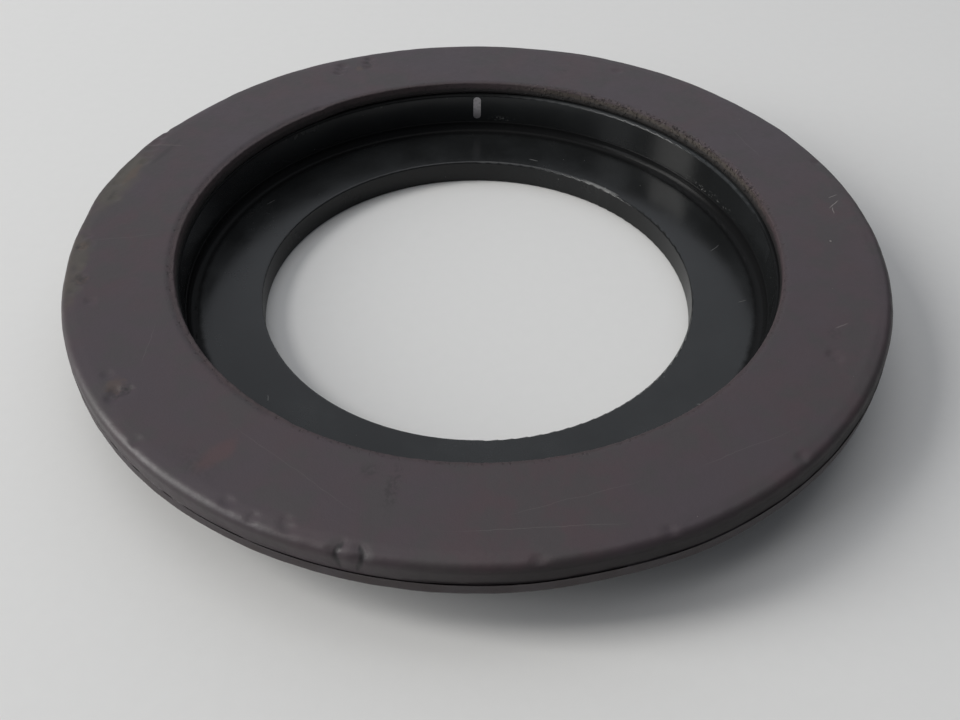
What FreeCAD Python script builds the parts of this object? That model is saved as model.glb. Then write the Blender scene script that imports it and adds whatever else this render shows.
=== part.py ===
import FreeCAD, Part
import math
import os
import re

import Sketcher

# Toilet flange: a black socket hub that sits on the waste pipe,
# and a rubber-faced ring that swivels round it.
# Z is up. The origin is on the flange's axis, at the underside that rests on the floor.

doc = FreeCAD.newDocument("toiletFlange")
sizes = doc.addObject("Spreadsheet::Sheet", "Sizes")

# Driving dimensions in millimetres.
drivingSizes = {
    "overallHeight": 19.5,      # underside to the rubber face
    "brimRadius": 89.0,
    "brimBottom": 11.7,         # height of the brim's underside
    "partingHeight": 15.0,      # line where the two gaskets meet on the brim's edge
    "partingGap": 0.1,
    "gasketBore": 66.0,         # inner radius of the rubber face
    "gasketDepth": 2.9,         # thickness of the rubber face
    "skirtWidth": 3.0,          # rubber that laps over the edge of the core
    "faceRounding": 2.0,
    "boreRounding": 0.6,
    "partingRounding": 0.35,
    "backRounding": 1.0,
    "backBore": 78.0,
    "backDepth": 1.4,
    "steelBore": 76.0,
    "steelOuter": 84.0,
    "steelDepth": 2.0,
    "wasteRadius": 48.8,        # the opening in the floor
    "floorHeight": 5.9,
    "floorDepth": 2.7,
    "wasteRounding": 0.5,
    "coveRadius": 2.0,          # where the floor turns up into the wall
    "coveWallRadius": 65.0,
    "hubOuter": 69.0,
    "hubWall": 2.6,
    "footOuter": 58.0,          # foot ring round the waste opening
    "footRounding": 0.4,
    "sealGrooveBore": 52.0,
    "sealGrooveOuter": 56.0,
    "sealDepth": 2.4,
    "sealRounding": 0.8,
    "shoulderRadius": 76.0,
    "shoulderDepth": 3.0,
    "journalRadius": 70.4,      # the hub's bearing for the swivel ring
    "journalTop": 14.2,
    "swivelPlay": 0.15,
    "bearingClearance": 0.1,
    "oringHeight": 12.9,
    "oringSection": 0.72,       # radius of the ring's round section
    "oringClearance": 0.05,
    "sleeveBore": 65.2,
    "sleeveWall": 2.2,
    "sleeveFoot": 8.4,
    "lipTop": 16.25,
    "lipRadius": 74.0,
    "lipClearance": 0.4,
    "lipRounding": 0.5,
    "markWidth": 2.0,
    "markBottom": 9.2,
    "markTop": 15.6,
    "markOffset": 0.7,          # the mark stands this far left of the far point
    "markDepth": 0.8,
    "ribCount": 24,
    "ribWidth": 1.6,
    "ribRecess": 0.6,           # the ribs stop short of the floor they stand over
    "gussetFoot": 2.2,
    "gussetReach": 5.2,
}

for row, (alias, length) in enumerate(drivingSizes.items(), 1):
    sizes.set(f"A{row}", alias)
    sizes.set(f"B{row}", str(length))
    sizes.setAlias(f"B{row}", alias)
doc.recompute()


def bound(text):
    """The expression with each size read from the sheet."""
    return re.sub(r"[A-Za-z]\w*", r"Sizes.\g<0>", text)


def value(text):
    return float(doc.Sizes.evalExpression(bound(text)))


def newBody(name):
    body = doc.addObject("PartDesign::Body", name + "_body")
    body.Label = name
    return body


def newSketch(body, name, role="XZ_Plane"):
    sketch = body.newObject("Sketcher::SketchObject", name)
    plane = next(feature for feature in body.Origin.OriginFeatures if feature.Role == role)
    sketch.AttachmentSupport = (plane, [""])
    sketch.MapMode = "FlatFace"
    return sketch


def fixPoint(sketch, geometry, end, across, up):
    """Ties one point of the sketch to two sizes, measured from the sketch's origin."""
    for kind, text in (("DistanceX", across), ("DistanceY", up)):
        index = sketch.addConstraint(Sketcher.Constraint(kind, -1, 1, geometry, end, value(text)))
        sketch.setExpression(f"Constraints[{index}]", bound(text))


def addOutline(sketch, corners):
    """Draws a closed outline through corners given as pairs of sizes: across and up."""
    points = [FreeCAD.Vector(value(across), value(up), 0) for across, up in corners]
    first = sketch.GeometryCount
    for number, point in enumerate(points):
        following = points[(number + 1) % len(points)]
        sketch.addGeometry(Part.LineSegment(point, following), False)
    for number, (across, up) in enumerate(corners):
        line = first + number
        following = first + (number + 1) % len(corners)
        sketch.addConstraint(Sketcher.Constraint("Coincident", line, 2, following, 1))
        fixPoint(sketch, line, 1, across, up)


def revolve(body, name, corners, kind="PartDesign::Revolution"):
    sketch = newSketch(body, name + "Outline")
    addOutline(sketch, corners)
    feature = body.newObject(kind, name)
    feature.Profile = sketch
    feature.ReferenceAxis = (sketch, ["V_Axis"])
    feature.Angle = 360
    doc.recompute()
    return feature


def checkCut(before, after, expected, name):
    """A cut that points away from the solid removes nothing, so its volume is compared."""
    removed = before.Shape.Volume - after.Shape.Volume
    if abs(removed - expected) > 0.03 * expected:
        raise SystemExit(f"{name} removed {removed:.1f} cubic millimetres instead of {expected:.1f}")


def roundEdges(body, name, base, places, radius):
    """Fillets the circular edges at the given radii and heights."""
    wanted = [(value(across), value(up)) for across, up in places]
    found = []
    for number, edge in enumerate(base.Shape.Edges, 1):
        if not isinstance(edge.Curve, Part.Circle):
            continue
        for across, up in wanted:
            if abs(edge.Curve.Radius - across) < 0.01 and abs(edge.Curve.Center.z - up) < 0.01:
                found.append(f"Edge{number}")
    if not found:
        raise SystemExit(f"{name} found no edge to round")
    fillet = body.newObject("PartDesign::Fillet", name)
    fillet.Base = (base, found)
    fillet.setExpression("Radius", bound(radius))
    doc.recompute()
    return fillet


def ringVolume(inner, outer, depth):
    return math.pi * (value(outer) ** 2 - value(inner) ** 2) * value(depth)


def slotOutline(body, name):
    """An upright bar with round ends, on the plane through the axis."""
    sketch = newSketch(body, name)
    half = value("markWidth / 2")
    middle = -value("markOffset")
    low = value("markBottom") + half
    high = value("markTop") - half
    up = FreeCAD.Vector(0, 0, 1)
    lowArc = Part.Circle(FreeCAD.Vector(middle, low, 0), up, half)
    highArc = Part.Circle(FreeCAD.Vector(middle, high, 0), up, half)
    sketch.addGeometry(Part.ArcOfCircle(lowArc, math.pi, 2 * math.pi), False)
    sketch.addGeometry(Part.LineSegment(FreeCAD.Vector(middle + half, low, 0),
                                        FreeCAD.Vector(middle + half, high, 0)), False)
    sketch.addGeometry(Part.ArcOfCircle(highArc, 0, math.pi), False)
    sketch.addGeometry(Part.LineSegment(FreeCAD.Vector(middle - half, high, 0),
                                        FreeCAD.Vector(middle - half, low, 0)), False)
    for line, following in ((0, 1), (1, 2), (2, 3), (3, 0)):
        sketch.addConstraint(Sketcher.Constraint("Tangent", line, 2, following, 1))
    fixPoint(sketch, 0, 3, "-markOffset", "markBottom + markWidth / 2")
    fixPoint(sketch, 2, 3, "-markOffset", "markTop - markWidth / 2")
    index = sketch.addConstraint(Sketcher.Constraint("Radius", 0, half))
    sketch.setExpression(f"Constraints[{index}]", bound("markWidth / 2"))
    return sketch


def makeSocketHub():
    """Cup with a flat floor, a waste opening, a bearing for the swivel ring and a ribbed underside."""
    body = newBody("socket_hub")
    cup = revolve(body, "cup", [
        ("wasteRadius", "0"),
        ("footOuter", "0"),
        ("footOuter", "floorHeight - floorDepth"),
        ("hubOuter - hubWall", "floorHeight - floorDepth"),
        ("hubOuter - hubWall", "0"),
        ("hubOuter", "0"),
        ("hubOuter", "brimBottom - swivelPlay - shoulderDepth"),
        ("shoulderRadius", "brimBottom - swivelPlay - shoulderDepth"),
        ("shoulderRadius", "brimBottom - swivelPlay"),
        ("journalRadius", "brimBottom - swivelPlay"),
        ("journalRadius", "journalTop"),
        ("sleeveBore + sleeveWall", "journalTop"),
        ("sleeveBore + sleeveWall", "sleeveFoot"),
        ("coveWallRadius", "sleeveFoot"),
        ("coveWallRadius", "floorHeight"),
        ("wasteRadius", "floorHeight"),
    ])
    sealGroove = revolve(body, "pipeSealGroove", [
        ("sealGrooveBore", "0"),
        ("sealGrooveOuter", "0"),
        ("sealGrooveOuter", "sealDepth"),
        ("sealGrooveBore", "sealDepth"),
    ], "PartDesign::Groove")
    grooveVolume = ringVolume("sealGrooveBore", "sealGrooveOuter", "sealDepth")
    checkCut(cup, sealGroove, grooveVolume, "pipe seal groove")
    oringGroove = revolve(body, "swivelSealGroove", [
        ("journalRadius - oringSection * 2", "oringHeight - oringSection"),
        ("journalRadius", "oringHeight - oringSection"),
        ("journalRadius", "oringHeight + oringSection"),
        ("journalRadius - oringSection * 2", "oringHeight + oringSection"),
    ], "PartDesign::Groove")
    oringVolume = ringVolume("journalRadius - oringSection * 2", "journalRadius", "oringSection * 2")
    checkCut(sealGroove, oringGroove, oringVolume, "swivel seal groove")

    ribSketch = newSketch(body, "ribOutline")
    addOutline(ribSketch, [
        ("footOuter - ribRecess", "ribRecess"),
        ("hubOuter - hubWall + ribRecess", "ribRecess"),
        ("hubOuter - hubWall + ribRecess", "floorHeight - floorDepth + ribRecess"),
        ("footOuter - ribRecess", "floorHeight - floorDepth + ribRecess"),
    ])
    addOutline(ribSketch, [
        ("hubOuter - ribRecess", "gussetFoot"),
        ("hubOuter", "gussetFoot"),
        ("hubOuter + gussetReach", "brimBottom - swivelPlay - shoulderDepth"),
        ("hubOuter - ribRecess", "brimBottom - swivelPlay - shoulderDepth"),
    ])
    rib = body.newObject("PartDesign::Pad", "rib")
    rib.Profile = ribSketch
    rib.SideType = "Symmetric"
    rib.setExpression("Length", bound("ribWidth"))
    doc.recompute()
    ribs = body.newObject("PartDesign::PolarPattern", "ribs")
    ribs.Originals = [rib]
    ribs.Axis = (ribSketch, ["V_Axis"])
    ribs.Angle = 360
    ribs.setExpression("Occurrences", bound("ribCount"))
    body.Tip = ribs
    doc.recompute()

    cove = roundEdges(body, "cove", ribs, [("coveWallRadius", "floorHeight")], "coveRadius")
    mouth = roundEdges(body, "wasteEdge", cove, [("wasteRadius", "floorHeight")], "wasteRounding")
    roundEdges(body, "hubEdges", mouth, [
        ("wasteRadius", "0"),
        ("coveWallRadius", "sleeveFoot"),
        ("hubOuter", "0"),
    ], "footRounding")
    return body


def makeRetainingSleeve():
    """Sleeve that lines the cup. Its lip holds the swivel ring down."""
    body = newBody("retaining_sleeve")
    sleeve = revolve(body, "sleeve", [
        ("sleeveBore", "sleeveFoot"),
        ("sleeveBore + sleeveWall", "sleeveFoot"),
        ("sleeveBore + sleeveWall", "journalTop"),
        ("lipRadius", "journalTop"),
        ("lipRadius", "lipTop"),
        ("sleeveBore", "lipTop"),
    ])
    lipCorners = [("sleeveBore", "lipTop"), ("lipRadius", "lipTop")]
    lip = roundEdges(body, "lipEdges", sleeve, lipCorners, "lipRounding")
    pocket = body.newObject("PartDesign::Pocket", "markPocket")
    pocket.Profile = slotOutline(body, "markPocketOutline")
    pocket.setExpression("Length", bound("sleeveBore + markDepth"))
    doc.recompute()
    straight = value("markTop - markBottom - markWidth")
    slotArea = value("markWidth") * straight + math.pi * value("markWidth / 2") ** 2
    checkCut(lip, pocket, slotArea * value("markDepth"), "mark pocket")
    return body


def makeMarkInlay():
    """Pale bar that fills the pocket in the sleeve, flush with its bore."""
    body = newBody("mark_inlay")
    bar = body.newObject("PartDesign::Pad", "bar")
    bar.Profile = slotOutline(body, "barOutline")
    bar.Reversed = True
    bar.setExpression("Length", bound("sleeveBore + markDepth"))
    doc.recompute()
    boreSketch = newSketch(body, "boreOutline", "XY_Plane")
    boreCircle = Part.Circle(FreeCAD.Vector(0, 0, 0), FreeCAD.Vector(0, 0, 1), value("sleeveBore"))
    boreSketch.addGeometry(boreCircle, False)
    boreSketch.addConstraint(Sketcher.Constraint("Coincident", 0, 3, -1, 1))
    index = boreSketch.addConstraint(Sketcher.Constraint("Radius", 0, value("sleeveBore")))
    boreSketch.setExpression(f"Constraints[{index}]", bound("sleeveBore"))
    bore = body.newObject("PartDesign::Pocket", "boreCut")
    bore.Profile = boreSketch
    bore.Reversed = True
    bore.setExpression("Length", bound("overallHeight"))
    doc.recompute()
    return body


def makePipeSeal():
    """Rubber ring in the hub's foot that seals on the pipe's collar."""
    body = newBody("pipe_seal")
    ring = revolve(body, "ring", [
        ("sealGrooveBore", "0"),
        ("sealGrooveOuter", "0"),
        ("sealGrooveOuter", "sealDepth"),
        ("sealGrooveBore", "sealDepth"),
    ])
    roundEdges(body, "sealEdges", ring, [("sealGrooveBore", "0"), ("sealGrooveOuter", "0")], "sealRounding")
    return body


def makeSwivelSeal():
    """Round rubber ring in the hub's bearing, just clear of the swivel ring."""
    ring = doc.addObject("Part::Torus", "swivelSealRing")
    ring.Label = "swivel_seal"
    reach = "journalRadius + bearingClearance - oringClearance - oringSection"
    ring.setExpression("Radius1", bound(reach))
    ring.setExpression("Radius2", bound("oringSection"))
    ring.setExpression("Placement.Base.z", bound("oringHeight"))
    return ring


def makeRingCore():
    """Plastic ring that turns on the hub, with a channel for the steel and a recess for the lip."""
    body = newBody("ring_core")
    bore = "journalRadius + bearingClearance"
    recess = "lipRadius + lipClearance"
    edge = "brimRadius - skirtWidth"
    top = "overallHeight - gasketDepth"
    core = revolve(body, "core", [
        (bore, "brimBottom"),
        ("backBore", "brimBottom"),
        ("backBore", "brimBottom + backDepth"),
        (edge, "brimBottom + backDepth"),
        (edge, top),
        (recess, top),
        (recess, "journalTop - swivelPlay"),
        (bore, "journalTop - swivelPlay"),
    ])
    channel = revolve(body, "steelChannel", [
        ("steelBore", top + " - steelDepth"),
        ("steelOuter", top + " - steelDepth"),
        ("steelOuter", top),
        ("steelBore", top),
    ], "PartDesign::Groove")
    checkCut(core, channel, ringVolume("steelBore", "steelOuter", "steelDepth"), "steel channel")
    return body


def makeStiffeningRing():
    """Flat steel ring that keeps the brim from bending."""
    body = newBody("stiffening_ring")
    top = "overallHeight - gasketDepth"
    revolve(body, "plate", [
        ("steelBore", top + " - steelDepth"),
        ("steelOuter", top + " - steelDepth"),
        ("steelOuter", top),
        ("steelBore", top),
    ])
    return body


def makeFaceGasket():
    """Rubber face that covers the brim and laps over its edge, down to the parting line."""
    body = newBody("face_gasket")
    under = "overallHeight - gasketDepth"
    skirtFoot = "partingHeight + partingGap / 2"
    face = revolve(body, "face", [
        ("gasketBore", under),
        ("brimRadius - skirtWidth", under),
        ("brimRadius - skirtWidth", skirtFoot),
        ("brimRadius", skirtFoot),
        ("brimRadius", "overallHeight"),
        ("gasketBore", "overallHeight"),
    ])
    brim = roundEdges(body, "brimEdge", face, [("brimRadius", "overallHeight")], "faceRounding")
    bore = roundEdges(body, "boreEdge", brim, [("gasketBore", "overallHeight")], "boreRounding")
    roundEdges(body, "skirtEdge", bore, [("brimRadius", skirtFoot)], "partingRounding")
    return body


def makeBackGasket():
    """Rubber under the brim, up to the parting line."""
    body = newBody("back_gasket")
    bandTop = "partingHeight - partingGap / 2"
    back = revolve(body, "back", [
        ("backBore", "brimBottom"),
        ("brimRadius", "brimBottom"),
        ("brimRadius", bandTop),
        ("brimRadius - skirtWidth", bandTop),
        ("brimRadius - skirtWidth", "brimBottom + backDepth"),
        ("backBore", "brimBottom + backDepth"),
    ])
    lower = roundEdges(body, "lowerEdge", back, [("brimRadius", "brimBottom")], "backRounding")
    roundEdges(body, "bandEdge", lower, [("brimRadius", bandTop)], "partingRounding")
    return body


pieces = [
    makeSocketHub(),
    makeRetainingSleeve(),
    makeMarkInlay(),
    makePipeSeal(),
    makeSwivelSeal(),
    makeRingCore(),
    makeStiffeningRing(),
    makeFaceGasket(),
    makeBackGasket(),
]
doc.recompute()

for item in doc.Objects:
    if "Invalid" in item.State or "Error" in item.State:
        raise SystemExit(f"{item.Label} failed: {item.State}")
for piece in pieces:
    if piece.Shape.isNull() or not piece.Shape.isValid():
        raise SystemExit(f"{piece.Label} has no valid shape")

os.makedirs("parts", exist_ok=True)
for piece in pieces:
    piece.Shape.exportStep(f"parts/{piece.Label}.step")
    print(f"{piece.Label}: {len(piece.Shape.Solids)} solid, {piece.Shape.Volume:.0f} cubic millimetres")
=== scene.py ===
import math

import bmesh
import bpy
from mathutils import Matrix, Vector


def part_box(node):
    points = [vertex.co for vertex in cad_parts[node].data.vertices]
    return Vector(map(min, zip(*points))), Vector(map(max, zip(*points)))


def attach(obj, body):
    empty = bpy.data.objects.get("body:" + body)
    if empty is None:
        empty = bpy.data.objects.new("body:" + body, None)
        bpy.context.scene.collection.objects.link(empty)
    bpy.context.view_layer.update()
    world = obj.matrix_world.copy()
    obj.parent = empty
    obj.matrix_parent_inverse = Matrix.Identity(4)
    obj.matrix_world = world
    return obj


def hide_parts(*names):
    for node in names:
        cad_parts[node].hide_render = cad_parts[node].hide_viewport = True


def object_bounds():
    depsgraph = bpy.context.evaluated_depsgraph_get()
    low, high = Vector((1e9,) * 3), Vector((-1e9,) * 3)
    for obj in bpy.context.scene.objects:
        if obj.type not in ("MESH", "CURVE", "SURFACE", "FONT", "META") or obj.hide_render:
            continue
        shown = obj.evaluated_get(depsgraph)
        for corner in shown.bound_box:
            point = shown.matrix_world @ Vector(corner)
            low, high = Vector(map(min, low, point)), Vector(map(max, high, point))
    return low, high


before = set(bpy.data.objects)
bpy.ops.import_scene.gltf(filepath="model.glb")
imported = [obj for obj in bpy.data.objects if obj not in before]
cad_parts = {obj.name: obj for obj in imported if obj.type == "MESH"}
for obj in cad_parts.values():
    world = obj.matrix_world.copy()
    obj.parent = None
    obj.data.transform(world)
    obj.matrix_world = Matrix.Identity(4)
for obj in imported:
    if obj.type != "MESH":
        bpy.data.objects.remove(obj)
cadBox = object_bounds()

mm = 0.001
nearEdge = 0.1 * mm
nearCorner = 0.05 * mm
mergeGap = 0.01 * mm
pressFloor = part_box("face_gasket")[1].z - 3.2 * mm      # dents are pressed into what lies above this


def startPiece(name, inner, outer, low, high):
    # a plane standing across the ring's section, on the +X side
    bpy.ops.object.select_all(action="DESELECT")
    bpy.ops.mesh.primitive_plane_add(size=1, location=((inner + outer) / 2, 0, (low + high) / 2),
                                     rotation=(math.pi / 2, 0, 0))
    piece = bpy.context.object
    piece.name = name
    piece.data.name = name
    piece.scale = (outer - inner, high - low, 1)
    bpy.ops.object.transform_apply(location=True, rotation=True, scale=True)
    bpy.ops.object.mode_set(mode="EDIT")
    bpy.ops.mesh.select_all(action="DESELECT")
    return piece


def choose(kind, test):
    # selects the open piece's points, edges or faces whose middle passes the test
    bpy.context.tool_settings.mesh_select_mode = (kind == "verts", kind == "edges", kind == "faces")
    bpy.ops.mesh.select_all(action="DESELECT")
    mesh = bpy.context.edit_object.data
    shape = bmesh.from_edit_mesh(mesh)
    for part in getattr(shape, kind):
        corners = [part] if kind == "verts" else part.verts
        middle = sum((corner.co for corner in corners), Vector()) / len(corners)
        if test(middle):
            part.select_set(True)
    bmesh.update_edit_mesh(mesh)


def near(place, reach):
    target = Vector(place)
    return lambda point: (point - target).length < reach


def ringPoint(angle, radius, height):
    turn = math.radians(angle)
    return Vector((radius * math.cos(turn), radius * math.sin(turn), height))


def splitLong(span, test, mostHalvings=8):
    # halves the chosen edges until none is longer than the span
    for halving in range(mostHalvings):
        choose("edges", test)
        shape = bmesh.from_edit_mesh(bpy.context.edit_object.data)
        long = [edge for edge in shape.edges if edge.select and edge.calc_length() > span]
        if not long:
            return
        bpy.ops.mesh.select_all(action="DESELECT")
        for edge in long:
            edge.select_set(True)
        bmesh.update_edit_mesh(bpy.context.edit_object.data)
        bpy.ops.mesh.subdivide(number_cuts=1)


def spinSection(steps):
    # turns the outline of the section into a closed ring
    bpy.ops.mesh.select_all(action="SELECT")
    bpy.ops.mesh.spin(steps=steps, angle=2 * math.pi, center=(0, 0, 0), axis=(0, 0, 1))
    bpy.ops.mesh.select_all(action="SELECT")
    bpy.ops.mesh.remove_doubles(threshold=mergeGap)
    bpy.ops.mesh.normals_make_consistent(inside=False)


def press(spots, width, move, reach, lowest=pressFloor):
    # pushes the surface by the move at the spots, and less and less out to the reach
    wide = width * width
    spots = [(spot.x, spot.y) for spot in spots]

    def pressed(p):
        return p.z > lowest and any((p.x - x) ** 2 + (p.y - y) ** 2 < wide for x, y in spots)

    choose("verts", pressed)
    bpy.ops.transform.translate(value=move, use_proportional_edit=True, proportional_edit_falloff="SMOOTH",
                                proportional_size=reach)


# how the rubber is out of round; both gaskets bend alike
bendSettings = {
    "inward": 0.6 * mm,
    "width": 1.6 * mm,
    "bends": (                                   # angles, millimetres outward, reach in millimetres
        ((84, 90, 96, 102, 108), -0.75, 22),     # flatter at the back
        ((126, 134, 141), -0.25, 16),
        ((157, 163, 169), 0.6, 12),              # a blunt corner on the left
        ((-75,), -0.3, 16),
    ),
}


def bendRound(outer, lowest):
    s = bendSettings
    for angles, outward, reach in s["bends"]:
        spots = [ringPoint(angle, outer - s["inward"], 0) for angle in angles]
        middle = sum(angles) / len(angles)
        press(spots, s["width"], ringPoint(middle, outward * mm, 0), reach * mm, lowest)


def ruffle(piece, name, scale, strength, group, depth=2):
    # roughens a vertex group with procedural clouds, and only ever takes away
    texture = bpy.data.textures.new(name, "CLOUDS")
    texture.noise_scale = scale
    texture.noise_depth = depth
    modifier = piece.modifiers.new(name, "DISPLACE")
    modifier.texture = texture
    modifier.texture_coords = "LOCAL"
    modifier.strength = strength
    modifier.mid_level = 1
    modifier.vertex_group = group
    bpy.ops.object.modifier_apply(modifier=name)


def wearEdge(piece):
    # the outline wanders and is worn, alike on both gaskets, so that the parting line stays closed
    ruffle(piece, "edgeWarp", 24 * mm, 0.30 * mm, "edge")
    ruffle(piece, "edgeWear", 3 * mm, 0.11 * mm, "edge")


def weigh(piece, name, weight):
    # a vertex group whose weights come from a function of radius, angle and height
    group = piece.vertex_groups.new(name=name)
    for vertex in piece.data.vertices:
        point = vertex.co
        angle = math.degrees(math.atan2(point.y, point.x))
        amount = weight(math.hypot(point.x, point.y), angle, point.z)
        if amount > 0:
            group.add([vertex.index], min(amount, 1), "REPLACE")


def rise(value, low, high):
    t = min(max((value - low) / (high - low), 0), 1)
    return t * t * (3 - 2 * t)


def finishPiece(piece, body, node):
    bpy.ops.object.select_all(action="DESELECT")
    piece.select_set(True)
    bpy.context.view_layer.objects.active = piece
    bpy.ops.object.shade_smooth()
    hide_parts(node)
    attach(piece, body)


faceSettings = {
    "bore": 66.0 * mm,
    "under": 16.6 * mm,
    "skirt": 3.0 * mm,
    "rounding": 2.0 * mm,
    "boreRounding": 0.5 * mm,
    "footChamfer": 0.1 * mm,
    "closing": 0.13 * mm,         # the skirt meets the rubber below it
    "span": 0.62 * mm,
    "steps": 900,
    "crescentAngle": -103.3,
    "knocks": (                   # depth, reach, then each place: its angle and how far in from the edge
        (0.28, 1.5, [(-111, 2.6), (-111.6, 3.6), (-115.2, 2.0), (-119, 2.8), (-134.5, 2.4), (-147, 5.6)]),
        (0.5, 1.7, [(-142.6, 4.0), (-143.4, 5.4), (-142.8, 7.0)]),
        (0.36, 1.7, [(-166, 3.2), (-168.5, 4.6), (-171, 3.4)]),
        (0.26, 1.4, [(-175.5, 3.0), (-176.5, 4.6), (-178.5, 3.4), (172, 5.2), (168, 3.6), (-163, 6.5)]),
        (0.42, 1.6, [(111.2, 4.4), (111.8, 6.2), (112.2, 8.4), (116.6, 5.4), (117.6, 7.2), (118.3, 8.6)]),
        (0.22, 1.6, [(-48, 2.2), (-29, 9.0), (-28.6, 9.8), (63, 7.0), (-68, 1.6), (-83, 1.4), (20, 2.2)]),
    ),
}


def makeFaceGasket():
    s = faceSettings
    low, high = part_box("face_gasket")
    outer = high.x
    top = high.z
    foot = low.z - s["closing"]
    inside = outer - s["skirt"]
    piece = startPiece("faceGasket", s["bore"], inside, s["under"], top)
    choose("edges", near((inside, 0, (s["under"] + top) / 2), nearEdge))
    bpy.ops.mesh.extrude_region_move(TRANSFORM_OT_translate={"value": (s["skirt"], 0, 0)})
    choose("edges", near(((inside + outer) / 2, 0, s["under"]), nearEdge))
    bpy.ops.mesh.extrude_region_move(TRANSFORM_OT_translate={"value": (0, 0, foot - s["under"])})
    bpy.ops.mesh.select_all(action="SELECT")
    bpy.ops.mesh.dissolve_limited()
    for corner, size, segments in (
        ((outer, 0, top), s["rounding"], 9),
        ((s["bore"], 0, top), s["boreRounding"], 4),
        ((outer, 0, foot), s["footChamfer"], 1),
    ):
        choose("verts", near(corner, nearCorner))
        bpy.ops.mesh.bevel(offset=size, segments=segments, affect="VERTICES", profile=0.5)
    bpy.ops.mesh.select_all(action="SELECT")
    bpy.ops.mesh.delete(type="ONLY_FACE")
    splitLong(s["span"], lambda p: p.z > s["under"] + nearEdge or p.x > outer - nearEdge)
    spinSection(s["steps"])
    dentFaceGasket(outer, top)
    bpy.ops.object.mode_set(mode="OBJECT")

    def shown(r, a, z):
        return max(rise(z, s["under"], s["under"] + 0.5 * mm), rise(r, inside, outer))

    def raggedBore(r, a, z):
        nearBore = 1 - rise(r, s["bore"] + 0.4 * mm, s["bore"] + 1.5 * mm)
        crumbled = max(rise(a, 2, 20) * (1 - rise(a, 62, 80)), 0.3)
        return nearBore * crumbled * rise(z, s["under"] + 0.3 * mm, top)

    weigh(piece, "shown", shown)
    weigh(piece, "edge", lambda r, a, z: rise(r, outer - 4 * mm, outer - 1 * mm))
    weigh(piece, "raggedBore", raggedBore)
    ruffle(piece, "faceWaves", 14 * mm, 0.16 * mm, "shown")
    wearEdge(piece)
    ruffle(piece, "boreCrumbs", 1.3 * mm, 0.8 * mm, "raggedBore", depth=3)
    finishPiece(piece, "swivel_ring", "face_gasket")
    print("face gasket", len(piece.data.polygons))
    return piece


def dentFaceGasket(outer, top):
    # two crescent dents facing each other
    s = faceSettings

    def spot(angle, inward):
        return ringPoint(angle, outer - inward * mm, top)

    for bow in (-1, 1):
        bend = (n / 12 - 0.5 for n in range(13))
        spots = [spot(s["crescentAngle"] + bow * (1.65 - 2.4 * t * t), 1.1 + 2.4 * t) for t in bend]
        press(spots, 0.4 * mm, (0, 0.08 * mm, -0.22 * mm), 1.3 * mm)
    # the left half of the bore sits further in, with a softer edge
    left = [ringPoint(angle, s["bore"], top) for angle in range(128, 236)]
    press(left, 2.0 * mm, (0.45 * mm, 0, 0), 5 * mm)
    press(left, 0.6 * mm, (0.1 * mm, 0, -0.2 * mm), 1.6 * mm)
    # knocks where the mould's marks have worn off
    for depth, reach, places in s["knocks"]:
        press([spot(*place) for place in places], 0.45 * mm, (0, 0, -depth * mm), reach * mm)
    bendRound(outer, pressFloor)
    # the crease that leaves the corner
    press([spot(152 + 1.9 * n, 0.6 + 0.8 * n) for n in range(6)], 0.5 * mm, (0, 0, -0.25 * mm), 1.5 * mm)


backSettings = {
    "bore": 78 * mm,
    "web": 1.4 * mm,
    "band": 3.0 * mm,
    "topChamfer": 0.1 * mm,
    "footRounding": 1.0 * mm,
    "span": 0.7 * mm,
    "steps": 720,
}


def makeBackGasket():
    s = backSettings
    low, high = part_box("back_gasket")
    outer = high.x
    webTop = low.z + s["web"]
    inside = outer - s["band"]
    piece = startPiece("backGasket", s["bore"], inside, low.z, webTop)
    choose("edges", near((inside, 0, (low.z + webTop) / 2), nearEdge))
    bpy.ops.mesh.extrude_region_move(TRANSFORM_OT_translate={"value": (s["band"], 0, 0)})
    choose("edges", near(((inside + outer) / 2, 0, webTop), nearEdge))
    bpy.ops.mesh.extrude_region_move(TRANSFORM_OT_translate={"value": (0, 0, high.z - webTop)})
    bpy.ops.mesh.select_all(action="SELECT")
    bpy.ops.mesh.dissolve_limited()
    for corner, size, segments in (
        ((outer, 0, low.z), s["footRounding"], 5),
        ((outer, 0, high.z), s["topChamfer"], 1),
    ):
        choose("verts", near(corner, nearCorner))
        bpy.ops.mesh.bevel(offset=size, segments=segments, affect="VERTICES", profile=0.5)
    bpy.ops.mesh.select_all(action="SELECT")
    bpy.ops.mesh.delete(type="ONLY_FACE")
    splitLong(s["span"], lambda p: p.z < low.z + nearEdge or p.x > outer - 2 * nearEdge)
    spinSection(s["steps"])
    bendRound(outer, low.z - mm)
    bpy.ops.object.mode_set(mode="OBJECT")
    weigh(piece, "edge", lambda r, a, z: rise(r, outer - 5 * mm, outer - 1 * mm))
    wearEdge(piece)
    finishPiece(piece, "swivel_ring", "back_gasket")
    print("back gasket", len(piece.data.polygons))
    return piece


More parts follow.
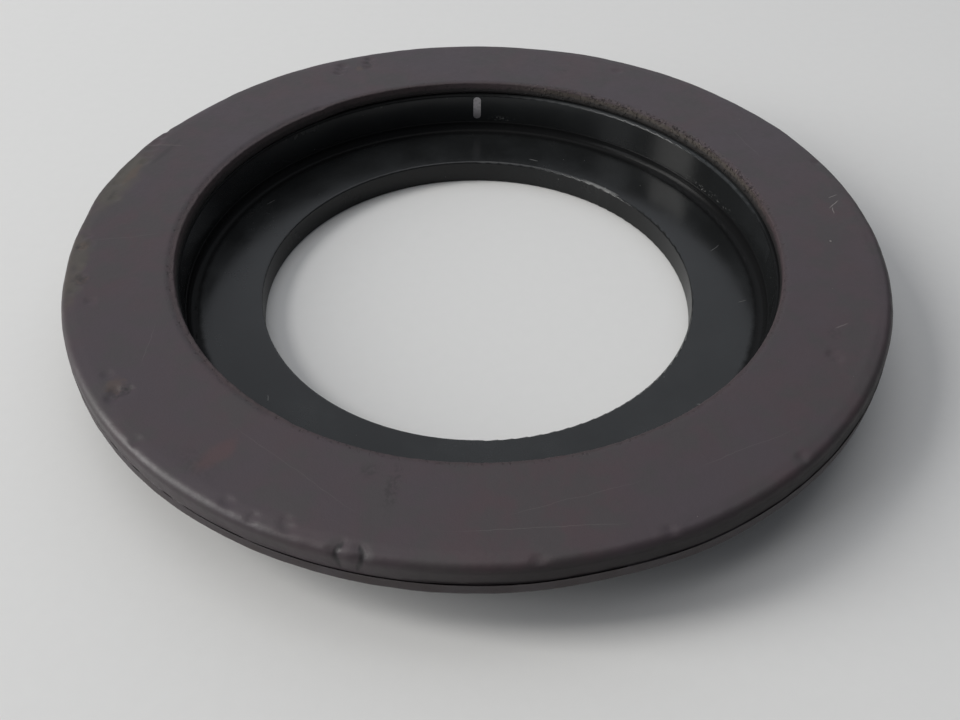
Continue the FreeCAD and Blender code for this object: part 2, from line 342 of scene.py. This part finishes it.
class Wire:
    # one socket of a material's tree; an expression on wires adds its Math nodes
    def __init__(self, paint, socket):
        self.paint = paint
        self.socket = socket

    def math(self, operation, *values):
        return self.paint.node("ShaderNodeMath", {"operation": operation}, dict(enumerate(values)))

    def __add__(self, other):
        return self.math("ADD", self, other)

    def __radd__(self, other):
        return self.math("ADD", other, self)

    def __sub__(self, other):
        return self.math("SUBTRACT", self, other)

    def __rsub__(self, other):
        return self.math("SUBTRACT", other, self)

    def __mul__(self, other):
        return self.math("MULTIPLY", self, other)

    def __rmul__(self, other):
        return self.math("MULTIPLY", other, self)

    def __truediv__(self, other):
        return self.math("DIVIDE", self, other)

    def __rtruediv__(self, other):
        return self.math("DIVIDE", other, self)

    def __pow__(self, other):
        return self.math("POWER", self, other)

    def __rpow__(self, other):
        return self.math("POWER", other, self)

    def __gt__(self, other):
        return self.math("GREATER_THAN", self, other)

    def __lt__(self, other):
        return self.math("LESS_THAN", self, other)

    def __abs__(self):
        return self.math("ABSOLUTE", self)

    def most(self, other):
        return self.math("MAXIMUM", self, other)

    def least(self, other):
        return self.math("MINIMUM", self, other)


# the flat dark colour laid on as painted shade
paintedShadeColour = (0.007, 0.007, 0.0072)


class Paint:
    # one material; places and sizes in it are in millimetres
    def __init__(self, name, **uniform):
        self.material = bpy.data.materials.new(name)
        self.material.use_nodes = True
        self.tree = self.material.node_tree
        self.shader = self.tree.nodes["Principled BSDF"]
        for key, value in uniform.items():
            self.shader.inputs[key.replace("_", " ")].default_value = value
        place = self.node("ShaderNodeTexCoord", output="Object")
        self.place = self.node("ShaderNodeVectorMath", {"operation": "SCALE"}, {0: place, "Scale": 1 / mm})
        self.x = self.node("ShaderNodeSeparateXYZ", {}, {0: self.place}, "X")
        self.y = self.node("ShaderNodeSeparateXYZ", {}, {0: self.place}, "Y")
        self.z = self.node("ShaderNodeSeparateXYZ", {}, {0: self.place}, "Z")
        self.radius = (self.x * self.x + self.y * self.y) ** 0.5
        self.angle = self.x.math("ARCTAN2", self.y, self.x) * (180 / math.pi)
        self.normal = None

    def node(self, kind, settings=None, sockets=None, output=0):
        made = self.tree.nodes.new(kind)
        for key, value in (settings or {}).items():
            setattr(made, key, value)
        for key, value in (sockets or {}).items():
            if isinstance(value, Wire):
                self.tree.links.new(value.socket, made.inputs[key])
            else:
                made.inputs[key].default_value = value
        return Wire(self, made.outputs[output])

    def noise(self, size, detail=3, roughness=0.55, seed=0):
        # noise whose blobs are about that many millimetres across
        shift = (seed, seed * 0.7, seed * 1.3)
        place = self.node("ShaderNodeMapping", {}, {"Vector": self.place, "Location": shift})
        sockets = {"Vector": place, "Scale": 1 / size, "Detail": detail, "Roughness": roughness}
        return self.node("ShaderNodeTexNoise", {}, sockets)

    def step(self, value, low, high):
        return self.node("ShaderNodeMapRange", {"interpolation_type": "SMOOTHSTEP"},
                         {"Value": value, "From Min": low, "From Max": high})

    def mix(self, factor, first, second):
        sockets = {0: factor, 6: self.colour(first), 7: self.colour(second)}
        return self.node("ShaderNodeMix", {"data_type": "RGBA"}, sockets, 2)

    def colour(self, value):
        return value if isinstance(value, Wire) else (*value, 1)

    def specks(self, size, spot, share, seed=0):
        # scattered round spots: cells of that size, of which a share hold a spot
        shift = (seed, seed * 1.7, seed * 0.4)
        place = self.node("ShaderNodeMapping", {}, {"Vector": self.place, "Location": shift})
        cell = {"Vector": place, "Scale": 1 / size}
        distance = self.node("ShaderNodeTexVoronoi", {}, cell, "Distance")
        colour = self.node("ShaderNodeTexVoronoi", {}, cell, "Color")
        chance = self.node("ShaderNodeSeparateColor", {}, {0: colour}, "Red")
        wide = self.node("ShaderNodeSeparateColor", {}, {0: colour}, "Green")
        reach = (wide * wide * 0.8 + 0.35) * (spot / size)
        return self.step(distance / reach, 1.0, 0.55) * (chance > (1 - share))

    def patch(self, angle, radius, wide, long, ragged=0.5, size=4, seed=0):
        # a soft-edged patch, wide across the ring and long round it
        turn = math.radians(angle)
        across = (self.x * math.cos(turn) + self.y * math.sin(turn) - radius) / wide
        along = (self.y * math.cos(turn) - self.x * math.sin(turn)) / long
        wander = (self.noise(size, seed=seed) - 0.5) * (2 * ragged)
        return self.step((across * across + along * along) ** 0.5 + wander, 1.1, 0.35)

    def scratch(self, angle, radius, turn, length, width, seed=0):
        # a fine wavering line, turned from the ring's own direction
        spin = math.radians(angle)
        lean = math.radians(turn)
        across = self.x * math.cos(spin) + self.y * math.sin(spin) - radius
        along = self.y * math.cos(spin) - self.x * math.sin(spin)
        down = along * math.cos(lean) + across * math.sin(lean)
        side = across * math.cos(lean) - along * math.sin(lean) + (self.noise(7, seed=seed) - 0.5) * 1.6
        ends = self.step(abs(down), length / 2, length / 5)
        return self.step(abs(side), width, width * 0.2) * ends

    def crescents(self, angle, radius, size, width):
        # two curved lines facing each other, like a ring open at both ends, bent down over the edge
        spin = math.radians(angle)
        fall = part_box("face_gasket")[1].z / mm - self.z
        across = self.x * math.cos(spin) + self.y * math.sin(spin) + fall * 0.6 - radius
        along = self.y * math.cos(spin) - self.x * math.sin(spin)
        distance = (across * across + along * along) ** 0.5 + (self.noise(2.5, seed=angle) - 0.5) * 0.7
        sides = self.step(abs(along), size * 0.45, size * 0.7)
        return self.step(abs(distance - size), width, width * 0.1) * sides

    def bump(self, height, distance, strength=1.0):
        sockets = {"Height": height, "Distance": distance * mm, "Strength": strength}
        if self.normal:
            sockets["Normal"] = self.normal
        self.normal = self.node("ShaderNodeBump", {}, sockets)

    def finish(self, colour, roughness, paintedShade=None):
        self.tree.links.new(colour.socket, self.shader.inputs["Base Color"])
        self.tree.links.new(roughness.socket, self.shader.inputs["Roughness"])
        if self.normal:
            self.tree.links.new(self.normal.socket, self.shader.inputs["Normal"])
        if paintedShade:
            # where painted shade is asked for, a flat dark sheet covers part of the gloss and its
            # reflections: painted shade
            shadeSheet = self.node("ShaderNodeBsdfDiffuse", {}, {"Color": self.colour(paintedShadeColour)})
            gloss = Wire(self, self.shader.outputs[0])
            both = self.node("ShaderNodeMixShader", {}, {0: paintedShade, 1: gloss, 2: shadeSheet})
            output = self.tree.nodes["Material Output"]
            self.tree.links.new(both.socket, output.inputs["Surface"])
        return self.material


rubberSettings = {
    "mauve": (0.047, 0.035, 0.041),
    "red": (0.052, 0.033, 0.037),
    "green": (0.043, 0.037, 0.038),
    "olive": (0.070, 0.062, 0.044),
    "dark": (0.022, 0.017, 0.018),
    "dust": (0.32, 0.30, 0.28),
    "crumb": (0.135, 0.105, 0.095),
    "rust": (0.095, 0.060, 0.040),
    "stain": (0.085, 0.036, 0.036),
    "boreEdge": (0.045, 0.030, 0.031),
    "tan": (0.055, 0.047, 0.036),
    # painted shade for the gap under the foot of the bore
    "foot": (0.008, 0.007, 0.007),
    "crease": (0.12, 0.10, 0.09),
    "crescentShade": (0.008, 0.006, 0.007),
    "underMauve": (0.040, 0.032, 0.036),
    "underRed": (0.036, 0.027, 0.028),
    "rubbed": (0.10, 0.09, 0.085),
    "rustSpots": (                # angle, radius, size
        (-176, 85.6, 1.7), (-168, 84.4, 1.6), (-144.5, 83.2, 2.4), (114, 80, 1.4),
    ),
    "smudges": (                  # angle, radius, width, length, amount
        (-101, 73.5, 6, 1.6, 0.6), (-105, 71, 2.2, 2.2, 0.5), (-143, 82.5, 3.2, 1.8, 0.9),
        (-126, 83, 3, 6, 0.3), (-24, 78, 1.6, 2.2, 0.35), (73, 76, 2, 2.4, 0.4),
        (111.5, 82, 4.2, 1.3, 0.9), (117, 80.5, 2.6, 1.3, 0.7), (-168, 84.5, 2.4, 2.4, 0.8),
        (-176, 86, 2.2, 1.6, 0.7), (171, 85.5, 1.6, 2.4, 0.5),
    ),
    "scuffs": (                   # angle, radius, turn, length, width, amount
        (8.5, 82.5, 50, 5, 0.16, 0.5), (7, 81.5, 15, 3, 0.14, 0.5), (10.5, 83.5, 70, 3, 0.12, 0.5),
        (-22, 79, 40, 4, 0.18, 0.2), (30, 76, 8, 16, 0.1, 0.12), (-82, 81, 4, 34, 0.09, 0.12),
        (-77, 76, -6, 30, 0.08, 0.08), (-115, 75, 14, 40, 0.08, 0.07), (-52, 79, 12, 26, 0.09, 0.08),
        (-178, 77, 80, 18, 0.12, 0.08), (-150, 74, 30, 14, 0.1, 0.07),
    ),
}


def stainRubber(p, colour):
    s = rubberSettings
    # olive and orange bloom on the left, round the edge
    bloom = p.patch(167, 86, 4.5, 17, 0.5, 4, 2) * 0.6
    colour = p.mix(bloom, colour, s["olive"])
    colour = p.mix(p.patch(-172, 86.5, 3.5, 16, 0.7, 3, 7) * 0.5, colour, s["olive"])
    colour = p.mix(p.patch(165, 84.5, 1.5, 5, 0.6, 2, 3) * 0.4, colour, s["rust"])
    colour = p.mix(p.patch(158, 82.0, 0.9, 7, 0.5, 2, 5) * 0.5, colour, s["dark"])
    for angle, radius, size in s["rustSpots"]:
        colour = p.mix(p.patch(angle, radius, size, size, 0.7, 1.2, angle) * 0.35, colour, s["rust"])
    # dark, grainy smudges
    speckle = p.step(p.noise(0.9, 3, seed=8), 0.40, 0.60)
    for angle, radius, wide, long, amount in s["smudges"]:
        smudge = p.patch(angle, radius, wide, long, 0.6, 1.8, angle) * speckle
        colour = p.mix(smudge * amount, colour, s["dark"])
    return p.mix(p.patch(-125, 79, 6, 2.6, 0.6, 5, 4) * 0.4, colour, s["stain"])


def crumbleBore(p, colour, fine):
    # pits and crumbs along the inner edge, most of them on the right of the far side
    s = rubberSettings
    crumbly = p.step(p.angle, 4, 20) * p.step(p.angle, 86, 70)
    chips = p.step(p.noise(0.9, 3, 0.6, seed=21), 0.54, 0.66)
    crumbs = p.step(p.radius + (fine - 0.5) * 2.2, 67.7, 66.7) * crumbly * chips
    colour = p.mix(crumbs * 0.75, colour, s["crumb"])
    pits = p.step(p.noise(0.8, 3, 0.6, seed=27), 0.56, 0.68) * p.step(p.radius, 67.9, 66.7)
    pits = pits * (crumbly * 0.7 + 0.3)
    colour = p.mix(pits * 0.8, colour, s["dark"])
    face = p.step(p.radius, 66.6, 66.3) * p.step(p.z, 19.1, 18.6)
    colour = p.mix(face * crumbly * 0.7, colour, s["tan"])
    # painted shade in the gap under the gasket, along the foot of its inner face
    foot = p.step(p.radius, 66.8, 66.4) * p.step(p.z + (fine - 0.5) * 1.4, 18.2, 17.4)
    return p.mix(foot * 0.85, colour, s["foot"]), crumbs, pits


def scuffRubber(p, colour):
    # light scuffs and scratches, the crease, and painted shade in the two crescent dents
    s = rubberSettings
    scuffs = 0
    for angle, radius, turn, length, width, amount in s["scuffs"]:
        scuffs = p.scratch(angle, radius, turn, length, width, angle) * amount + scuffs
    colour = p.mix(scuffs, colour, s["dust"])
    crease = p.scratch(156, 84.5, 68, 13, 0.3, 3)
    colour = p.mix(crease * 0.4, colour, s["crease"])
    # painted shade in the grooves of the two crescent dents
    marks = p.crescents(faceSettings["crescentAngle"], 88.7, 2.3, 0.8)
    return p.mix(marks * 0.9, colour, s["crescentShade"]), 0 - scuffs - crease * 0.4 - marks * 0.8


def paintFaceRubber():
    s = rubberSettings
    p = Paint("agedRubber", Specular_IOR_Level=0.45)
    broad = p.noise(26, 2, seed=3)
    middle = p.noise(7, 4, seed=11)
    fine = p.noise(1.4, 4, 0.6, seed=5)
    colour = p.mix(p.step(broad, 0.36, 0.68), s["mauve"], s["red"])
    colour = p.mix(p.step(middle + broad * 0.4, 0.62, 0.86) * 0.8, colour, s["green"])
    colour = stainRubber(p, colour)
    # painted shade: the outer edge darker, and darker still on the right of the front; dark at the foot of
    # the bore
    rim = p.step(p.radius + (middle - 0.5) * 1.4, 86.9, 88.8)
    shaded = p.step(p.angle, -104, -78) * p.step(p.angle, 20, -20)
    colour = p.mix(rim * (shaded * 0.35 + 0.4), colour, s["dark"])
    bore = p.step(p.radius + (fine - 0.5) * 1.2, 67.4, 66.3)
    colour = p.mix(bore * 0.55, colour, s["boreEdge"])
    colour, crumbs, pits = crumbleBore(p, colour, fine)
    colour, cuts = scuffRubber(p, colour)
    dust = (p.specks(5.5, 0.30, 0.22, 4) + p.specks(2.6, 0.11, 0.2, 9)).least(1)
    colour = p.mix(dust * 0.7, colour, s["dust"])
    p.bump(fine, 0.09, 0.5)
    p.bump(p.noise(0.35, 3, 0.6, seed=31), 0.05, 0.45)
    p.bump(cuts, 0.07)
    p.bump(dust + crumbs * 2 - pits * 3, 0.12)
    roughness = 0.34 + middle * 0.12 + fine * 0.14 + dust * 0.2 + bore * 0.2
    # the side on the right of the front gets painted shade over its sheen
    return p.finish(colour, roughness, shaded * p.step(p.z, 18.7, 17.7) * 0.45)


def paintBackRubber():
    s = rubberSettings
    p = Paint("agedRubberUnder", Specular_IOR_Level=0.4)
    middle = p.noise(6, 4, seed=2)
    fine = p.noise(1.2, 4, 0.6, seed=6)
    colour = p.mix(p.step(middle, 0.35, 0.7), s["underMauve"], s["underRed"])
    colour = p.mix(p.step(fine, 0.55, 0.75) * 0.5, colour, s["dark"])
    dust = p.specks(3.5, 0.25, 0.3, 3)
    colour = p.mix(dust * 0.6, colour, s["dust"])
    # rub marks where the brim has sat on a floor
    rubbed = p.step(p.noise(9, 4, 0.65, seed=14), 0.52, 0.68) * p.step(p.z, 12.4, 11.8)
    colour = p.mix(rubbed * 0.4, colour, s["rubbed"])
    p.bump(fine, 0.12, 0.6)
    p.bump(p.noise(0.4, 3, seed=9), 0.05, 0.5)
    return p.finish(colour, 0.48 + middle * 0.15 + dust * 0.2)


glossSettings = {
    "black": (0.0108, 0.0114, 0.0116),
    "film": (0.024, 0.026, 0.027),
    "dust": (0.30, 0.30, 0.29),
    "scratches": (                # angle, radius, turn, length, width
        (74, 52, 10, 3, 0.18), (13, 58, 60, 4, 0.12), (-6, 60, 65, 2.5, 0.15),
        (-40, 60, 45, 2.5, 0.2), (-138, 57, 30, 2, 0.2), (150, 60, 10, 3, 0.08),
    ),
}


def paintGloss(name, marks, film, seed, rough, shine):
    # moulded black plastic: nearly a mirror, under a thin film of dust
    s = glossSettings
    p = Paint(name, Specular_IOR_Level=shine)
    broad = p.noise(14, 3, seed=seed)
    fine = p.noise(1.1, 4, 0.6, seed=seed + 5)
    veil = p.step(broad + fine * 0.25, 0.45, 0.85)
    colour = p.mix(veil * film, s["black"], s["film"])
    dust = (p.specks(6, 0.3, 0.35, seed) + p.specks(2.4, 0.11, 0.3, seed + 2)).least(1)
    bright, worn, paintedShade = marks(p)
    dust = (dust + bright).least(1)
    colour = p.mix(dust * 0.7, colour, s["dust"])
    colour = p.mix(worn, colour, s["film"])
    p.bump(p.noise(9, 2, seed=seed + 1), 0.03, 0.3)
    p.bump(p.noise(0.5, 2, 0.5, seed=seed + 8), 0.01, 0.2)
    p.bump(dust, 0.1)
    return p.finish(colour, rough + veil * 0.08 + dust * 0.5 + worn * 0.2, paintedShade)


def hubMarks(p):
    # what shows on top of the gloss: bright scratches with a painted highlight, a worn film, and painted
    # shade
    scratches = 0
    for angle, radius, turn, length, width in glossSettings["scratches"]:
        scratches = p.scratch(angle, radius, turn, length, width, angle) * 0.45 + scratches
    # a pale patch on the hole's edge: a scuff, and painted highlight of the window on that edge
    edge = p.step(abs(p.radius - 49.2), 0.45, 0.15)
    scratches = p.patch(50.5, 49.2, 0.9, 6.5, 0.3, 1.0, 8) * edge * 0.5 + scratches
    # painted shade: a dark sheet in the corner where the floor turns up, and thinly on the wall of the
    # hole, dims their reflections
    cove = p.step(p.radius + (p.noise(2, seed=4) - 0.5) * 1.0, 61.6, 63.2)
    wall = p.step(p.radius, 49.05, 48.85)
    return scratches, cove * 0.1, (cove * 0.85).most(wall * 0.35)


def sleeveMarks(p):
    # specks near the mark, crumbs along the step, a film on the lip, and painted shade on the lip except on
    # the right, where it is lit
    cloud = p.patch(84.5, 65.2, 3, 3.4, 0.8, 0.9, 5) * p.step(p.z, 10.4, 9.6) * p.step(p.z, 8.5, 9.2)
    smear = cloud * p.step(p.noise(0.6, 3, 0.6, seed=12), 0.50, 0.66) * 0.4
    crumbs = p.patch(27, 65.2, 4, 11, 0.5, 2, 6) * p.step(p.z, 10.4, 8.6)
    crumbs = crumbs * p.step(p.noise(0.7, 3, seed=4), 0.57, 0.67) * 0.7
    lip = p.step(p.z + (p.noise(1.5, seed=9) - 0.5) * 0.3, 15.55, 15.85)
    # the lit right side of the lip is spared the painted shade
    bare = p.step(p.angle, 2, 22) * p.step(p.angle, 88, 70)
    haze = p.step(p.z, 7.5, 16.5) * p.step(p.angle, 48, 84) * p.step(p.angle, 172, 130)
    return smear + crumbs, (lip * 0.9).most(haze * 0.8), lip * (0.85 - bare * 0.75)


markSettings = {
    "shaded": (0.14, 0.135, 0.14),
    "pale": (0.46, 0.44, 0.45),
    "grime": (0.08, 0.075, 0.08),
    # painted shade for the right side of the mark
    "bare": (0.05, 0.048, 0.05),
}


def paintMark():
    s = markSettings
    p = Paint("paleInlay", Specular_IOR_Level=0.5)
    fine = p.noise(0.6, 4, seed=2)
    # painted shade: darker towards the foot, deep in the recess
    fade = p.step(p.z, 9.0, 13.5)
    colour = p.mix(fade, s["shaded"], s["pale"])
    colour = p.mix(p.step(fine, 0.5, 0.72) * 0.5, colour, s["grime"])
    # painted shade: darker on the right, and more so towards the foot
    shadedRight = p.step(p.x + (fine - 0.5) * 0.6, 0.7, 1.7)
    colour = p.mix(shadedRight * (1 - fade * 0.6), colour, s["bare"])
    p.bump(fine, 0.04, 0.5)
    return p.finish(colour, 0.34 + fine * 0.2)


coreSettings = {
    "black": (0.010, 0.010, 0.011),
    "grey": (0.020, 0.020, 0.021),
    "dust": (0.2, 0.2, 0.19),
}


def paintCore():
    s = coreSettings
    p = Paint("satinBlack", Specular_IOR_Level=0.5)
    flow = p.noise(10, 3, seed=4)
    fine = p.noise(0.5, 3, seed=6)
    colour = p.mix(p.step(flow, 0.4, 0.7), s["black"], s["grey"])
    dust = p.specks(3, 0.2, 0.3, 5)
    colour = p.mix(dust * 0.5, colour, s["dust"])
    p.bump(fine, 0.03, 0.6)
    return p.finish(colour, 0.32 + fine * 0.2 + dust * 0.2)


steelSettings = {
    "darkFlake": (0.42, 0.43, 0.44),
    "lightFlake": (0.56, 0.56, 0.55),
    "flakeSize": 4,
}


def paintSteel():
    s = steelSettings
    p = Paint("zincSteel", Metallic=1.0)
    flake = p.node("ShaderNodeTexVoronoi", {}, {"Vector": p.place, "Scale": 1 / s["flakeSize"]}, "Color")
    tone = p.node("ShaderNodeSeparateColor", {}, {0: flake}, "Red")
    fine = p.noise(0.8, 4, seed=7)
    colour = p.mix(tone, s["darkFlake"], s["lightFlake"])
    p.bump(fine, 0.03, 0.4)
    return p.finish(colour, 0.28 + tone * 0.15 + fine * 0.12)


sealSettings = {
    "black": (0.012, 0.012, 0.013),
    "bloom": (0.032, 0.032, 0.031),
}


def paintSeal():
    s = sealSettings
    p = Paint("sealRubber", Specular_IOR_Level=0.35)
    bloom = p.step(p.noise(5, 4, 0.6, seed=3), 0.45, 0.75)
    fine = p.noise(0.5, 3, seed=9)
    colour = p.mix(bloom, s["black"], s["bloom"])
    p.bump(fine, 0.05, 0.6)
    return p.finish(colour, 0.55 + fine * 0.2)


def dress(nodeName, material):
    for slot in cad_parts[nodeName].material_slots:
        slot.material = material


stageSettings = {
    "floorSize": 6,
    "floor": (0.72, 0.715, 0.70),
    "world": (0.135, 0.142, 0.155),
    "worldStrength": 1.0,
}


def makeStage():
    s = stageSettings
    bpy.ops.object.select_all(action="DESELECT")
    bpy.ops.mesh.primitive_plane_add(size=s["floorSize"], location=(0, 0, 0))
    floor = bpy.context.object
    floor.name = "floor"
    p = Paint("paleFloor", Specular_IOR_Level=0.2)
    grain = p.noise(3, 3)
    colour = p.mix(grain * 0.3, s["floor"], tuple(0.9 * part for part in s["floor"]))
    floor.data.materials.append(p.finish(colour, 0.8 + grain * 0.1))
    world = bpy.data.worlds.new("softRoom")
    world.use_nodes = True
    world.node_tree.nodes["Background"].inputs["Color"].default_value = (*s["world"], 1)
    world.node_tree.nodes["Background"].inputs["Strength"].default_value = s["worldStrength"]
    bpy.context.scene.world = world


# name, azimuth, elevation, distance, width, height, brightness, colour
lightSettings = (
    ("window", 182, 31, 2.4, 0.68, 2.0, 11.5, (1.0, 0.99, 0.97)),
    ("sideWindow", 210, 28, 2.4, 0.55, 1.3, 4.5, (0.95, 0.97, 1.0)),
    ("ceiling", 90, 45, 2.5, 3.8, 3.6, 0.50, (0.94, 0.98, 1.05)),
    ("overhead", 150, 82, 2.4, 1.7, 1.7, 1.0, (1.0, 0.99, 0.98)),
)


def makeLights():
    for name, azimuth, elevation, distance, width, height, brightness, colour in lightSettings:
        data = bpy.data.lights.new(name, "AREA")
        data.shape = "RECTANGLE"
        data.size = width
        data.size_y = height
        data.energy = brightness * math.pi * width * height
        data.color = colour
        lamp = bpy.data.objects.new(name, data)
        bpy.context.scene.collection.objects.link(lamp)
        turn = math.radians(azimuth)
        lift = math.radians(elevation)
        level = distance * math.cos(lift)
        lamp.location = (level * math.cos(turn), level * math.sin(turn), distance * math.sin(lift))
        lamp.rotation_euler = (-lamp.location).to_track_quat("-Z", "Y").to_euler()


cameraSettings = {
    "side": 0.75 * mm,
    "back": 186.85 * mm,
    "rise": 140.45 * mm,        # above the rubber face
    "pitch": 43.83,             # degrees below level
    "roll": 0.56,
    "lens": 39.42,
}


def makeCamera():
    s = cameraSettings
    data = bpy.data.cameras.new("camera")
    data.lens = s["lens"]
    data.clip_start = 0.01
    camera = bpy.data.objects.new("camera", data)
    bpy.context.scene.collection.objects.link(camera)
    place = Matrix.Translation((s["side"], -s["back"], cadBox[1].z + s["rise"]))
    tilt = Matrix.Rotation(math.radians(90 - s["pitch"]), 4, "X")
    camera.matrix_world = place @ tilt @ Matrix.Rotation(math.radians(s["roll"]), 4, "Z")
    bpy.context.scene.camera = camera


bpy.context.scene.view_settings.view_transform = "Standard"
makeCamera()
makeStage()
makeLights()
print("stage ready")
faceGasket = makeFaceGasket()
backGasket = makeBackGasket()
faceGasket.data.materials.append(paintFaceRubber())
backGasket.data.materials.append(paintBackRubber())
dress("socket_hub", paintGloss("glossHub", hubMarks, film=0.35, seed=2, rough=0.2, shine=0.45))
dress("retaining_sleeve", paintGloss("glossSleeve", sleeveMarks, film=0.2, seed=17, rough=0.07, shine=0.38))
dress("mark_inlay", paintMark())
dress("ring_core", paintCore())
dress("stiffening_ring", paintSteel())
for sealNode in ("pipe_seal", "swivel_seal"):
    dress(sealNode, paintSeal())
print("materials ready")
